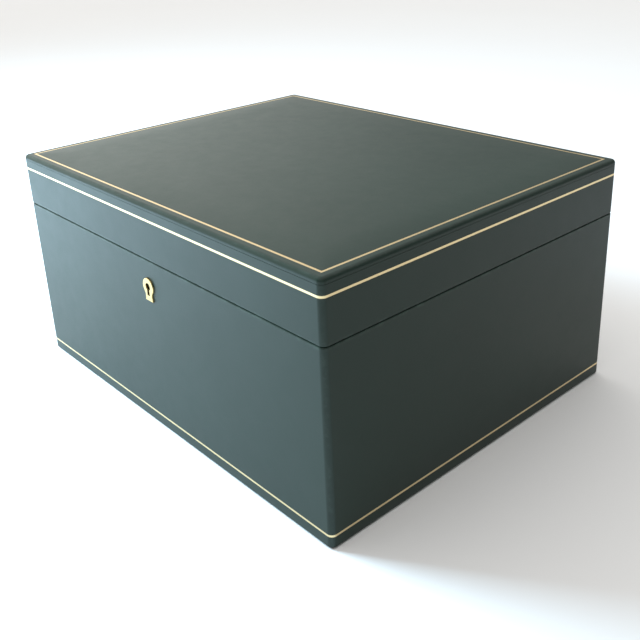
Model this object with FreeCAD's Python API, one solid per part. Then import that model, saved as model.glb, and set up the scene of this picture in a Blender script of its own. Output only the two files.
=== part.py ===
import FreeCAD, Part
import math
import os

# A leather-covered wooden box with a hinged lid, a pair of stop hinges and a box lock.
# Millimetres. +X is to the right, the keyhole side faces -Y, +Z is up.
# The origin is the middle of the face the box rests on.

os.makedirs("parts", exist_ok=True)
V = FreeCAD.Vector

# ---- Driving dimensions -------------------------------------------------------------

# Whole box, over the leather
width = 350.0
depth = 280.0
height = 172.0
lid_height = 40.5
seam_gap = 0.4

# Leather
leather = 1.2
corner_radius = 4.0
arris_radius = 2.8
rim_round = 0.8
foot_round = 0.8
top_turn_down = 3.8
leather_joint = 0.2
rim_lip = 8.0
under_margin = 14.0

# Crown of the lid top
crown = 0.8
crown_inset = 8.5
crown_run = 25.0

# Boards
wall = 12.0
bottom_board = 6.0
top_board = 6.0
wadding_edge = 1.2
wadding_round = 1.0

# Base sheet under the case
base_sheet = 1.0
base_sheet_inset = 4.0

# Gold lines
gold_width = 1.5
top_line_width = 1.8
gold_groove = 0.25
gold_recess = 0.05
foot_line_height = 9.4
lid_line_drop = 11.5
top_line_inset = 6.0

# Linings and pads
lining = 2.0
lining_edge_round = 0.6
floor_pad = 6.0
floor_pad_round = 2.4
lid_pad = 9.0
lid_pad_round = 4.0
pad_clearance = 0.4
pad_corner = 3.0

# Hinges
hinge_length = 40.0
hinge_inset = 55.0
leaf_thickness = 2.0
leaf_reach = 11.0
barrel_radius = 3.0
barrel_clearance = 0.3
knuckle_length = 10.0
knuckle_gap = 0.2
pin_radius = 1.25
pin_clearance = 0.03
heel_radius = 7.5
opening_angle = 97.0
stop_clearance_angle = 0.3
hinge_screw_pitch = 14.0
hinge_screw_setback = 6.5
hinge_screw_head = 2.3
hinge_screw_shank = 1.2
hinge_screw_length = 11.0

# Lock
lock_width = 46.0
lock_height = 30.0
lock_depth = 9.0
lock_plate = 1.2
cap_plate = 0.8
key_drop = 19.25
selvedge_length = 62.0
selvedge_width = 10.0
selvedge_thickness = 1.5
lock_screw_pitch = 54.0
lock_screw_head = 2.3
lock_screw_shank = 1.1
lock_screw_length = 12.0
drill_pin_radius = 1.0
drill_pin_setback = 3.0
ward_radius = 4.5
ward_thickness = 0.7
ward_depth = 1.6
ward_gap_angle = 80.0

# Bolt and staples
bolt_travel = 5.5
bolt_thickness = 1.8
bolt_play = 0.05
bolt_bar_bottom = 2.45
bolt_bar_height = 6.7
bolt_arm_width = 3.4
bolt_notch_depth = 4.5
finger_height = 3.4
staple_pitch = 20.0
staple_length = 9.0
staple_width = 2.4
staple_depth = 5.4
staple_eye_width = 2.6
staple_eye_height = 4.4
staple_bar = 1.6
staple_play = 0.8
link_plate_length = 52.0
link_screw_pitch = 40.0

# Keyhole and its plate
key_head_radius = 2.7
key_stem_width = 2.4
key_stem_foot = 3.0
key_reach = 6.45
keyhole_clearance = 0.3
plate_proud = 1.1
plate_head_radius = 6.3
plate_waist = 7.8
plate_waist_drop = 6.6
plate_foot = 8.8
plate_foot_drop = 10.55
plate_edge_round = 0.35
plate_prong_radius = 0.7
plate_prong_clearance = 0.2
plate_prong_rise = 5.0

# ---- Levels and planes worked out from them -----------------------------------------

half_w = width / 2
half_d = depth / 2
seam_z = height - lid_height
case_rim = seam_z - seam_gap / 2
lid_rim = seam_z + seam_gap / 2
case_foot = base_sheet
board_foot = case_foot + leather
case_board_top = case_rim - leather
lid_board_foot = lid_rim + leather
edge_top = height - crown
wadding_top = edge_top - leather
lid_board_top = wadding_top - wadding_edge
rail_top = lid_board_top - top_board
top_leather_foot = edge_top - top_turn_down
side_leather_top = top_leather_foot - leather_joint

board_w = half_w - leather
board_d = half_d - leather
well_w = board_w - wall
well_d = board_d - wall
board_corner = corner_radius - leather


# ---- Small helpers ------------------------------------------------------------------

def box(x0, x1, y0, y1, z0, z1):
    """A block between two corners."""
    return Part.makeBox(x1 - x0, y1 - y0, z1 - z0, V(x0, y0, z0))


def prism(points, z0, z1):
    """An upright prism on a plan outline."""
    wire = Part.makePolygon([V(x, y, z0) for x, y in points + points[:1]])
    return Part.Face(wire).extrude(V(0, 0, z1 - z0))


def rounded(hw, hd, z0, z1, radius):
    """An upright block about the z axis with rounded corners."""
    block = box(-hw, hw, -hd, hd, z0, z1)
    upright = [e for e in block.Edges if abs(e.Vertexes[0].Z - e.Vertexes[1].Z) > 1e-6]
    return block.makeFillet(radius, upright)


def flat_edges(shape, z):
    """The edges of a solid that lie wholly in the level plane z."""
    return [e for e in shape.Edges if all(abs(v.Z - z) < 1e-6 for v in e.Vertexes)]


def rod(radius, start, direction, length):
    """A round bar."""
    return Part.makeCylinder(radius, length, start, direction)


def fused(shapes):
    """One clean solid from pieces that touch or overlap."""
    whole = shapes[0].multiFuse(shapes[1:]) if len(shapes) > 1 else shapes[0]
    return whole.removeSplitter()


def ring(hw, hd, z0, z1, radius, inset):
    """A rounded band: a block less a smaller one inside it."""
    outer = rounded(hw, hd, z0, z1, radius)
    return outer.cut(rounded(hw - inset, hd - inset, z0, z1, radius - inset))


def mitred_walls(hw, hd, thickness, z0, z1, radius):
    """Four boards round a rectangle, mitred at the corners: front, back, left, right."""
    ow, od = hw, hd
    iw, idp = hw - thickness, hd - thickness
    plans = {
        "front": [(-ow, -od), (ow, -od), (iw, -idp), (-iw, -idp)],
        "back": [(-iw, idp), (iw, idp), (ow, od), (-ow, od)],
        "left": [(-ow, -od), (-iw, -idp), (-iw, idp), (-ow, od)],
        "right": [(iw, -idp), (ow, -od), (ow, od), (iw, idp)],
    }
    shape = rounded(hw, hd, z0, z1, radius)
    return {side: prism(plan, z0, z1).common(shape) for side, plan in plans.items()}


def write(node, shape):
    """Save one node; a group of solids stays a group."""
    solids = shape.Solids
    body = solids[0] if len(solids) == 1 else Part.makeCompound(solids)
    body.exportStep("parts/" + node + ".step")
    print(f"{node:24s} solids {len(solids)} volume {sum(s.Volume for s in solids):10.1f}")


def screw(x, y, z, down, head, shank, length):
    """A slotted countersunk wood screw, its head flush with the level z."""
    cone_depth = head - shank
    tip = shank * 2
    d = V(0, 0, -1) if down else V(0, 0, 1)
    top = V(x, y, z)
    cone = Part.makeCone(head, shank, cone_depth, top, d)
    body = rod(shank, top + d * cone_depth, d, length - cone_depth - tip)
    point = Part.makeCone(shank, 0.1, tip, top + d * (length - tip), d)
    slot_depth = head * 0.22
    slot_width = head * 0.28
    z_low, z_high = (z - slot_depth, z + 1) if down else (z - 1, z + slot_depth)
    slot = box(x - head, x + head, y - slot_width / 2, y + slot_width / 2, z_low, z_high)
    return fused([cone, body, point]).cut(slot)


def screw_hole(x, y, z, down, head, shank, length):
    """The countersink and pilot hole that a screw fills."""
    cone_depth = head - shank
    d = V(0, 0, -1) if down else V(0, 0, 1)
    top = V(x, y, z)
    cone = Part.makeCone(head, shank, cone_depth, top, d)
    return fused([cone, rod(shank, top + d * cone_depth, d, length - cone_depth)])


# ---- Hinges -------------------------------------------------------------------------

hinge_centre = half_w - hinge_inset - hinge_length / 2
hinge_centres = [-hinge_centre, hinge_centre]
heel_angle = (opening_angle + stop_clearance_angle) / 2
axis_y = half_d


def hinge_leaf(cx, on_lid):
    """A leaf let into the rim, its knuckles, and the heel that stops the lid."""
    x0 = cx - hinge_length / 2
    x1 = cx + hinge_length / 2
    rim = lid_rim if on_lid else case_rim
    z0, z1 = (rim, rim + leaf_thickness) if on_lid else (rim - leaf_thickness, rim)
    leaf = box(x0, x1, half_d - leaf_reach, axis_y, z0, z1)

    # The heel is a sector behind the back face, bounded by the upright and the stop plane.
    up = 1 if on_lid else -1
    a0 = math.radians(heel_angle)
    a1 = math.radians(90.0)
    am = (a0 + a1) / 2
    far = [
        V(x0, axis_y + heel_radius * math.cos(a), seam_z + up * heel_radius * math.sin(a))
        for a in (a0, am, a1)
    ]
    centre = V(x0, axis_y, seam_z)
    outline = Part.Wire([
        Part.LineSegment(centre, far[0]).toShape(),
        Part.Arc(far[0], far[1], far[2]).toShape(),
        Part.LineSegment(far[2], centre).toShape(),
    ])
    heel = Part.Face(outline).extrude(V(hinge_length, 0, 0))

    # Knuckles: two outer ones on the case, one between them on the lid.
    inner0 = x0 + knuckle_length
    inner1 = x1 - knuckle_length
    spans = [(inner0 + knuckle_gap, inner1 - knuckle_gap)] if on_lid else [(x0, inner0), (inner1, x1)]
    others = [(x0, inner0 + knuckle_gap), (inner1 - knuckle_gap, x1)] if on_lid else [(inner0, inner1)]
    axis = V(1, 0, 0)
    knuckles = [rod(barrel_radius, V(a, axis_y, seam_z), axis, b - a) for a, b in spans]
    reliefs = [
        rod(barrel_radius + barrel_clearance, V(a, axis_y, seam_z), axis, b - a)
        for a, b in others
    ]
    # Between its own knuckles the leaf stays clear of the other leaf's barrel.
    plate = leaf.fuse(heel)
    for relief in reliefs:
        plate = plate.cut(relief)
    solid = fused([plate] + knuckles)
    bore = rod(pin_radius + pin_clearance, V(x0 - 1, axis_y, seam_z), axis, hinge_length + 2)
    solid = solid.cut(bore)
    for sx in screw_places(cx):
        solid = solid.cut(screw_hole(sx, screw_y, rim, not on_lid, hinge_screw_head,
                                     hinge_screw_shank, hinge_screw_length))
    return solid


def screw_places(cx):
    """The three screws along one hinge leaf."""
    return [cx - hinge_screw_pitch, cx, cx + hinge_screw_pitch]


screw_y = half_d - hinge_screw_setback
hinge_case = [hinge_leaf(cx, False) for cx in hinge_centres]
hinge_lid = [hinge_leaf(cx, True) for cx in hinge_centres]
hinge_pins = [
    rod(pin_radius, V(cx - hinge_length / 2, axis_y, seam_z), V(1, 0, 0), hinge_length)
    for cx in hinge_centres
]
case_screws = [
    screw(sx, screw_y, case_rim, True, hinge_screw_head, hinge_screw_shank, hinge_screw_length)
    for cx in hinge_centres for sx in screw_places(cx)
]
lid_screws = [
    screw(sx, screw_y, lid_rim, False, hinge_screw_head, hinge_screw_shank, hinge_screw_length)
    for cx in hinge_centres for sx in screw_places(cx)
]


def hinge_mortise(cx, on_lid):
    """The seat of a leaf in the rim, the notch for the barrel and the pilot holes."""
    x0 = cx - hinge_length / 2
    x1 = cx + hinge_length / 2
    rim = lid_rim if on_lid else case_rim
    z0, z1 = (rim - 1, rim + leaf_thickness) if on_lid else (rim - leaf_thickness, rim + 1)
    seat = box(x0, x1, half_d - leaf_reach, axis_y + 1, z0, z1)
    notch = rod(barrel_radius + barrel_clearance, V(x0, axis_y, seam_z), V(1, 0, 0), x1 - x0)
    holes = [
        screw_hole(sx, screw_y, rim, not on_lid, hinge_screw_head, hinge_screw_shank,
                   hinge_screw_length)
        for sx in screw_places(cx)
    ]
    return fused([seat, notch] + holes)


case_mortises = [hinge_mortise(cx, False) for cx in hinge_centres]
lid_mortises = [hinge_mortise(cx, True) for cx in hinge_centres]

# ---- Keyhole and its plate ----------------------------------------------------------

key_z = case_rim - key_drop
front_face = -half_d
board_face = -board_d
board_inner = -well_d


def keyhole(y0, y1, grow):
    """A keyhole through the front: a round head and a stem that widens slightly."""
    head = rod(key_head_radius + grow, V(0, y0, key_z), V(0, 1, 0), y1 - y0)
    foot_z = key_z - key_reach - grow
    top_half = key_stem_width / 2 + grow
    foot_half = key_stem_foot / 2 + grow
    outline = [V(-top_half, y0, key_z), V(top_half, y0, key_z), V(foot_half, y0, foot_z),
               V(-foot_half, y0, foot_z)]
    stem = Part.Face(Part.makePolygon(outline + outline[:1])).extrude(V(0, y1 - y0, 0))
    return fused([head, stem])


def plate_outline(y):
    """The keyhole plate: a round head drawn in to a waist, then flared to a flat foot."""
    waist_z = key_z - plate_waist_drop
    foot_z = key_z - plate_foot_drop
    hw = plate_waist / 2
    hf = plate_foot / 2
    start = math.radians(-38.0)
    side = V(plate_head_radius * math.cos(start), y, key_z + plate_head_radius * math.sin(start))
    top = V(0, y, key_z + plate_head_radius)
    right_waist = V(hw, y, waist_z)
    left_waist = V(-hw, y, waist_z)
    left_side = V(-side.x, y, side.z)
    tangent_in = V(side.x * 0.5 + hw * 0.5 - 0.15, y, (side.z + waist_z) / 2)
    tangent_out = V(-tangent_in.x, y, tangent_in.z)
    right_foot = V(hf, y, foot_z)
    left_foot = V(-hf, y, foot_z)
    return Part.Wire([
        Part.Arc(left_side, top, side).toShape(),
        Part.Arc(side, tangent_in, right_waist).toShape(),
        Part.LineSegment(right_waist, right_foot).toShape(),
        Part.LineSegment(right_foot, left_foot).toShape(),
        Part.LineSegment(left_foot, left_waist).toShape(),
        Part.Arc(left_waist, tangent_out, left_side).toShape(),
    ])


lock_front = board_inner - lock_depth
prong_length = lock_front - plate_prong_clearance - front_face
plate_front = front_face - plate_proud
plate = Part.Face(plate_outline(plate_front)).extrude(V(0, plate_proud, 0))
plate_front_edges = [e for e in plate.Edges if all(abs(v.Y - plate_front) < 1e-6 for v in e.Vertexes)]
plate = plate.makeFillet(min(plate_edge_round, plate_proud * 0.45), plate_front_edges)
plate = plate.cut(keyhole(plate_front - 1, front_face + 1, 0.0))
prong_places = [V(0, front_face, key_z + plate_prong_rise),
                V(0, front_face, key_z - plate_foot_drop + (plate_foot_drop - key_reach) / 2)]
prongs = [rod(plate_prong_radius, p, V(0, 1, 0), prong_length) for p in prong_places]
escutcheon = fused([plate] + prongs)
front_through = keyhole(front_face - 1, board_inner + 1, keyhole_clearance)

# ---- Lock ---------------------------------------------------------------------------

lock_foot = case_rim - lock_height
lock_back = board_inner
half_lock = lock_width / 2
selvedge_front = board_inner - selvedge_width
selvedge_foot = case_rim - selvedge_thickness
plate_y = lock_back - lock_plate
cap_y = lock_front + cap_plate
bolt_y = (plate_y + cap_y) / 2
bolt_back = bolt_y + bolt_thickness / 2
bolt_face = bolt_y - bolt_thickness / 2
bar_foot = key_z + bolt_bar_bottom
bar_top = bar_foot + bolt_bar_height
staple_foot = lid_rim - staple_length
eye_foot = staple_foot + staple_bar
eye_top = eye_foot + staple_eye_height
finger_foot = (eye_foot + eye_top - finger_height) / 2
finger_top = finger_foot + finger_height
staple_places = [-staple_pitch / 2, staple_pitch / 2]
staple_half = staple_width / 2


def finger_places(sx):
    """Where the arm and the finger of one staple stand with the bolt drawn back."""
    tip = sx - staple_half - staple_play
    arm_right = sx - staple_half - bolt_travel - staple_play / 2
    return arm_right - bolt_arm_width, arm_right, tip


bar_left = finger_places(staple_places[0])[0]
bar_right = -bar_left - bolt_travel
notch_half = math.sqrt((key_reach - 0.1) ** 2 - bolt_bar_bottom ** 2) - bolt_travel / 2
notch_centre = -bolt_travel / 2

bolt_pieces = [box(bar_left, bar_right, bolt_face, bolt_back, bar_foot, bar_top)]
for sx in staple_places:
    arm_left, arm_right, tip = finger_places(sx)
    bolt_pieces.append(box(arm_left, arm_right, bolt_face, bolt_back, bar_top, finger_top))
    bolt_pieces.append(box(arm_right, tip, bolt_face, bolt_back, finger_foot, finger_top))
bolt = fused(bolt_pieces)
bolt = bolt.cut(box(notch_centre - notch_half, notch_centre + notch_half, bolt_face, bolt_back,
                    bar_foot, bar_foot + bolt_notch_depth))

# The lock case: main plate, top plate, three sides, the rails the bolt slides on.
main_plate = box(-half_lock, half_lock, plate_y, lock_back, lock_foot, case_rim)
top_plate = box(-selvedge_length / 2, selvedge_length / 2, selvedge_front, lock_back,
                selvedge_foot, case_rim)
left_side = box(-half_lock, -half_lock + lock_plate, cap_y, plate_y, lock_foot, selvedge_foot)
right_side = box(half_lock - lock_plate, half_lock, cap_y, plate_y, lock_foot, selvedge_foot)
foot_side = box(-half_lock, half_lock, cap_y, plate_y, lock_foot, lock_foot + lock_plate)
cavity_half = half_lock - lock_plate
rail_rise = 2.0
guide_left = bar_right - 1.5
standoff_back = bolt_back + bolt_play
low_rail_right = box(guide_left, cavity_half, bolt_face, plate_y, bar_foot - bolt_play - rail_rise,
                     bar_foot - bolt_play)
high_rail_right = box(guide_left, cavity_half, bolt_face, plate_y, bar_top + bolt_play,
                      bar_top + bolt_play + rail_rise)
standoff_right = box(guide_left, cavity_half, standoff_back, plate_y,
                     bar_foot - bolt_play - rail_rise, bar_top + bolt_play + rail_rise)
rail_right_end = -key_reach - 2.5
spring_room = 5.5
low_rail_left = box(-cavity_half, rail_right_end - spring_room, bolt_face, plate_y,
                    bar_foot - bolt_play - rail_rise, bar_foot - bolt_play)
standoff_left = box(-cavity_half, rail_right_end, standoff_back, plate_y,
                    bar_foot - bolt_play - rail_rise, bar_top)
mid_gap = (staple_foot - bar_top - bolt_play) * 0.7
mid_left = finger_places(staple_places[0])[2] + bolt_travel + 0.6
mid_right = finger_places(staple_places[1])[0] - 0.8
mid_rail = box(mid_left, mid_right, bolt_face, plate_y, bar_top + bolt_play,
               bar_top + bolt_play + mid_gap)
lock_case = fused([main_plate, top_plate, left_side, right_side, foot_side, low_rail_right,
                   high_rail_right, standoff_right, low_rail_left, standoff_left, mid_rail])


def staple_slot(sx):
    """The slot in the top plate that one staple drops through."""
    hx = staple_half + staple_play
    hy = staple_depth / 2 + staple_play - 0.05
    return box(sx - hx, sx + hx, bolt_y - hy, bolt_y + hy, selvedge_foot - 1, case_rim + 1)


for sx in staple_places:
    lock_case = lock_case.cut(staple_slot(sx))

selvedge_middle = (selvedge_front + lock_back) / 2
lock_screw_xs = [-lock_screw_pitch / 2, lock_screw_pitch / 2]
lock_screws = []
lock_holes = []
for sx in lock_screw_xs:
    lock_screws.append(screw(sx, selvedge_middle, case_rim, True, lock_screw_head,
                             lock_screw_shank, lock_screw_length))
    lock_holes.append(screw_hole(sx, selvedge_middle, case_rim, True, lock_screw_head,
                                 lock_screw_shank, lock_screw_length))
for hole in lock_holes:
    lock_case = lock_case.cut(hole)
pin_hole = rod(drill_pin_radius, V(0, plate_y - 1, key_z), V(0, 1, 0), lock_plate + 2)
lock_case = lock_case.cut(pin_hole)

lock_cap = box(-half_lock, half_lock, lock_front, cap_y, lock_foot, selvedge_foot)
lock_cap = lock_cap.cut(keyhole(lock_front - 1, cap_y + 1, 0.0))

pin_tip = front_face + drill_pin_setback
lock_pin = rod(drill_pin_radius, V(0, pin_tip, key_z), V(0, 1, 0), lock_back - pin_tip)
pin_end_edges = [e for e in lock_pin.Edges if all(abs(v.Y - pin_tip) < 1e-6 for v in e.Vertexes)]
lock_pin = lock_pin.makeFillet(drill_pin_radius * 0.4, pin_end_edges)

ward = rod(ward_radius + ward_thickness / 2, V(0, cap_y, key_z), V(0, 1, 0), ward_depth)
ward = ward.cut(rod(ward_radius - ward_thickness / 2, V(0, cap_y, key_z), V(0, 1, 0), ward_depth))
gap_half = math.radians(ward_gap_angle / 2)
gap_reach = ward_radius * 2
gap_outline = [V(0, cap_y, key_z),
               V(gap_reach * math.sin(gap_half), cap_y, key_z - gap_reach * math.cos(gap_half)),
               V(-gap_reach * math.sin(gap_half), cap_y, key_z - gap_reach * math.cos(gap_half))]
gap = Part.Face(Part.makePolygon(gap_outline + gap_outline[:1])).extrude(V(0, ward_depth, 0))
lock_ward = ward.cut(gap)

# The leaf spring stands on the foot of the lock case and bears on the bolt's lower edge.
spring_thickness = 0.4
spring_root_x = -cavity_half + 1.0
spring_touch_x = rail_right_end - 1.2
spring_foot_z = lock_foot + lock_plate
spring_top_z = bar_foot - bolt_play
spring_half_y = bolt_thickness / 2
spring_line = [
    V(spring_touch_x - 0.2, 0, spring_foot_z + spring_thickness / 2),
    V(spring_root_x, 0, spring_foot_z + spring_thickness / 2),
    V(spring_root_x, 0, spring_foot_z + 2.4),
    V(spring_touch_x, 0, spring_top_z - spring_thickness / 2 - 0.02),
]


def strip(a, b):
    """A flat strip between two points, its width along y."""
    along = b - a
    along.normalize()
    side = V(-along.z, 0, along.x) * (spring_thickness / 2)
    y0 = V(0, bolt_y - spring_half_y, 0)
    corners = [a + side + y0, b + side + y0, b - side + y0, a - side + y0]
    return Part.Face(Part.makePolygon(corners + corners[:1])).extrude(V(0, 2 * spring_half_y, 0))


spring_pieces = [strip(spring_line[i], spring_line[i + 1]) for i in range(3)]
for p in spring_line[1:]:
    spring_pieces.append(rod(spring_thickness / 2, V(p.x, bolt_y - spring_half_y, p.z), V(0, 1, 0),
                             2 * spring_half_y))
lock_spring = fused(spring_pieces)

# The recess for the lock in the front board, and the seat of its top plate in the rim.
lock_recess = box(-half_lock, half_lock, lock_front, lock_back + 1, lock_foot, case_rim + 1)
selvedge_seat = box(-selvedge_length / 2, selvedge_length / 2, selvedge_front, lock_back,
                    selvedge_foot, case_rim + 1)

# The link plate on the lid, with its two staples.
link_plate = box(-link_plate_length / 2, link_plate_length / 2, selvedge_front, lock_back,
                 lid_rim, lid_rim + selvedge_thickness)
link_pieces = [link_plate]
for sx in staple_places:
    staple = box(sx - staple_half, sx + staple_half, bolt_y - staple_depth / 2,
                 bolt_y + staple_depth / 2, staple_foot, lid_rim + selvedge_thickness / 2)
    eye = box(sx - staple_half - 1, sx + staple_half + 1, bolt_y - staple_eye_width / 2,
              bolt_y + staple_eye_width / 2, eye_foot, eye_top)
    link_pieces.append(staple.cut(eye))
link_plate = fused(link_pieces)
link_seat = box(-link_plate_length / 2, link_plate_length / 2, selvedge_front, lock_back,
                lid_rim - 1, lid_rim + selvedge_thickness)
link_screw_xs = [-link_screw_pitch / 2, link_screw_pitch / 2]
link_screws = []
link_holes = []
for sx in link_screw_xs:
    link_screws.append(screw(sx, selvedge_middle, lid_rim, False, lock_screw_head,
                             lock_screw_shank, lock_screw_length))
    link_holes.append(screw_hole(sx, selvedge_middle, lid_rim, False, lock_screw_head,
                                 lock_screw_shank, lock_screw_length))
for hole in link_holes:
    link_plate = link_plate.cut(hole)

# ---- Case carcass -------------------------------------------------------------------

case_boards = mitred_walls(board_w, board_d, wall, board_foot, case_board_top, board_corner)
prong_holes = [rod(plate_prong_radius, p - V(0, 1, 0), V(0, 1, 0), prong_length + 1)
               for p in prong_places]
for tool in [lock_recess, selvedge_seat, front_through] + lock_holes + prong_holes:
    case_boards["front"] = case_boards["front"].cut(tool)
for tool in case_mortises:
    case_boards["back"] = case_boards["back"].cut(tool)
case_bottom = box(-well_w, well_w, -well_d, well_d, board_foot, board_foot + bottom_board)
floor_z = board_foot + bottom_board

# ---- Case leather -------------------------------------------------------------------

case_skin = rounded(half_w, half_d, case_foot, case_rim, corner_radius)
case_skin = case_skin.makeFillet(rim_round, flat_edges(case_skin, case_rim))
case_skin = case_skin.makeFillet(foot_round, flat_edges(case_skin, case_foot))
case_skin = case_skin.cut(rounded(board_w, board_d, board_foot, case_board_top, board_corner))
lip_w = well_w - leather
lip_d = well_d - leather
case_skin = case_skin.cut(box(-well_w, well_w, -well_d, well_d, case_board_top - 1, case_rim + 1))
case_skin = case_skin.cut(box(-half_w + under_margin, half_w - under_margin, -half_d + under_margin,
                              half_d - under_margin, case_foot - 1, board_foot + 1))
case_lip = box(-well_w, well_w, -well_d, well_d, case_rim - rim_lip, case_rim)
case_lip = case_lip.cut(box(-lip_w, lip_w, -lip_d, lip_d, case_rim - rim_lip - 1, case_rim + 1))


def line_groove(z):
    """The groove that a gold line round the sides fills."""
    low = z - gold_width / 2
    high = z + gold_width / 2
    return ring(half_w + 1, half_d + 1, low, high, corner_radius + 1, 1 + gold_groove)


def side_line(z):
    """A gold line round the sides, a hair below the leather's surface."""
    inset = gold_recess
    return ring(half_w - inset, half_d - inset, z - gold_width / 2, z + gold_width / 2,
                corner_radius - inset, gold_groove - gold_recess)


case_leather = fused([case_skin, case_lip])
foot_line_z = foot_line_height
for tool in [line_groove(foot_line_z), selvedge_seat, front_through] + case_mortises + prong_holes:
    case_leather = case_leather.cut(tool)

base_w = half_w - base_sheet_inset
base_d = half_d - base_sheet_inset
base_sheet_solid = rounded(base_w, base_d, 0, base_sheet, corner_radius)

# ---- Linings and pads ---------------------------------------------------------------


def linings(z0, z1, round_top):
    """Four lining panels inside a well; the long ones run the full width."""
    edge_z = z1 if round_top else z0
    panels = {
        "front": box(-well_w, well_w, -well_d, -well_d + lining, z0, z1),
        "back": box(-well_w, well_w, well_d - lining, well_d, z0, z1),
        "left": box(-well_w, -well_w + lining, -well_d + lining, well_d - lining, z0, z1),
        "right": box(well_w - lining, well_w, -well_d + lining, well_d - lining, z0, z1),
    }
    inner = {
        "front": lambda e: abs(e.CenterOfMass.y + well_d - lining) < 1e-6,
        "back": lambda e: abs(e.CenterOfMass.y - well_d + lining) < 1e-6,
        "left": lambda e: abs(e.CenterOfMass.x + well_w - lining) < 1e-6,
        "right": lambda e: abs(e.CenterOfMass.x - well_w + lining) < 1e-6,
    }
    for side, panel in panels.items():
        edges = [e for e in flat_edges(panel, edge_z) if inner[side](e)]
        panels[side] = panel.makeFillet(min(lining_edge_round, lining / 2), edges)
    return panels


case_lining_top = case_rim - rim_lip
case_linings = linings(floor_z, case_lining_top, True)
lid_lining_foot = lid_rim + rim_lip
lid_linings = linings(lid_lining_foot, rail_top, False)
pad_w = well_w - lining - pad_clearance
pad_d = well_d - lining - pad_clearance
floor_cushion = rounded(pad_w, pad_d, floor_z, floor_z + floor_pad, pad_corner)
floor_cushion = floor_cushion.makeFillet(floor_pad_round,
                                         flat_edges(floor_cushion, floor_z + floor_pad))
lid_cushion = rounded(pad_w, pad_d, rail_top - lid_pad, rail_top, pad_corner)
lid_cushion = lid_cushion.makeFillet(lid_pad_round, flat_edges(lid_cushion, rail_top - lid_pad))

# ---- Lid carcass --------------------------------------------------------------------

lid_rails = mitred_walls(board_w, board_d, wall, lid_board_foot, rail_top, board_corner)
for tool in [link_seat] + link_holes:
    lid_rails["front"] = lid_rails["front"].cut(tool)
for tool in lid_mortises:
    lid_rails["back"] = lid_rails["back"].cut(tool)
lid_board = rounded(board_w, board_d, rail_top, lid_board_top, board_corner)


def crown_form(z):
    """The low crown of the lid top: a slab whose sides slope gently to its rim."""
    low_w = half_w - crown_inset
    low_d = half_d - crown_inset
    high_w = low_w - crown_run
    high_d = low_d - crown_run
    wires = []
    for hw, hd, level in ((low_w, low_d, z), (high_w, high_d, z + crown)):
        corners = [V(-hw, -hd, level), V(hw, -hd, level), V(hw, hd, level), V(-hw, hd, level)]
        wires.append(Part.makePolygon(corners + corners[:1]))
    return Part.makeLoft(wires, True, True)


wadding = rounded(board_w, board_d, lid_board_top, wadding_top, board_corner)
wadding = wadding.makeFillet(min(wadding_round, wadding_edge * 0.9), flat_edges(wadding, wadding_top))
wadding = fused([wadding, crown_form(wadding_top)])

# ---- Lid leather --------------------------------------------------------------------

lid_top = rounded(half_w, half_d, top_leather_foot, edge_top, corner_radius)
lid_top = lid_top.makeFillet(arris_radius, flat_edges(lid_top, edge_top))
lid_top = fused([lid_top, crown_form(edge_top)])
under_top = rounded(board_w, board_d, top_leather_foot - 1, lid_board_top, board_corner)
lid_top_leather = lid_top.cut(under_top).cut(wadding)


def top_line_ring(low, high):
    """A mitred rectangle on the lid top, between two levels."""
    ow = half_w - top_line_inset
    od = half_d - top_line_inset
    outer = box(-ow, ow, -od, od, low, high)
    iw = ow - top_line_width
    idp = od - top_line_width
    return outer.cut(box(-iw, iw, -idp, idp, low, high))


lid_top_leather = lid_top_leather.cut(top_line_ring(edge_top - gold_groove, height + 1))
lid_top_line = top_line_ring(edge_top - gold_groove, edge_top - gold_recess)

lid_line_z = height - lid_line_drop
lid_skin = rounded(half_w, half_d, lid_rim, side_leather_top, corner_radius)
lid_skin = lid_skin.makeFillet(rim_round, flat_edges(lid_skin, lid_rim))
lid_skin = lid_skin.cut(rounded(board_w, board_d, lid_board_foot, side_leather_top, board_corner))
lid_skin = lid_skin.cut(box(-well_w, well_w, -well_d, well_d, lid_rim - 1, lid_board_foot + 1))
lid_lip = box(-well_w, well_w, -well_d, well_d, lid_rim, lid_rim + rim_lip)
lid_lip = lid_lip.cut(box(-lip_w, lip_w, -lip_d, lip_d, lid_rim - 1, lid_rim + rim_lip + 1))
lid_side_leather = fused([lid_skin, lid_lip])
for tool in [line_groove(lid_line_z), link_seat] + lid_mortises:
    lid_side_leather = lid_side_leather.cut(tool)

# ---- Files --------------------------------------------------------------------------

for side, board in case_boards.items():
    write("case_" + side + "_board", board)
write("case_bottom_board", case_bottom)
write("case_leather", case_leather)
write("foot_gold_line", side_line(foot_line_z))
write("base_sheet", base_sheet_solid)
for side, panel in case_linings.items():
    write("case_lining_" + side, panel)
write("floor_pad", floor_cushion)
write("hinge_case_leaves", Part.makeCompound(hinge_case))
write("hinge_pins", Part.makeCompound(hinge_pins))
write("hinge_case_screws", Part.makeCompound(case_screws))
write("escutcheon", escutcheon)
write("lock_case", lock_case)
write("lock_cap", lock_cap)
write("lock_ward", lock_ward)
write("lock_pin", lock_pin)
write("lock_spring", lock_spring)
write("lock_screws", Part.makeCompound(lock_screws))
write("lock_bolt", bolt)
for side, rail in lid_rails.items():
    write("lid_" + side + "_rail", rail)
write("lid_top_board", lid_board)
write("lid_wadding", wadding)
write("lid_top_leather", lid_top_leather)
write("lid_side_leather", lid_side_leather)
write("lid_top_gold_line", lid_top_line)
write("lid_side_gold_line", side_line(lid_line_z))
for side, panel in lid_linings.items():
    write("lid_lining_" + side, panel)
write("lid_pad", lid_cushion)
write("hinge_lid_leaves", Part.makeCompound(hinge_lid))
write("hinge_lid_screws", Part.makeCompound(lid_screws))
write("link_plate", link_plate)
write("link_plate_screws", Part.makeCompound(link_screws))
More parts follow.
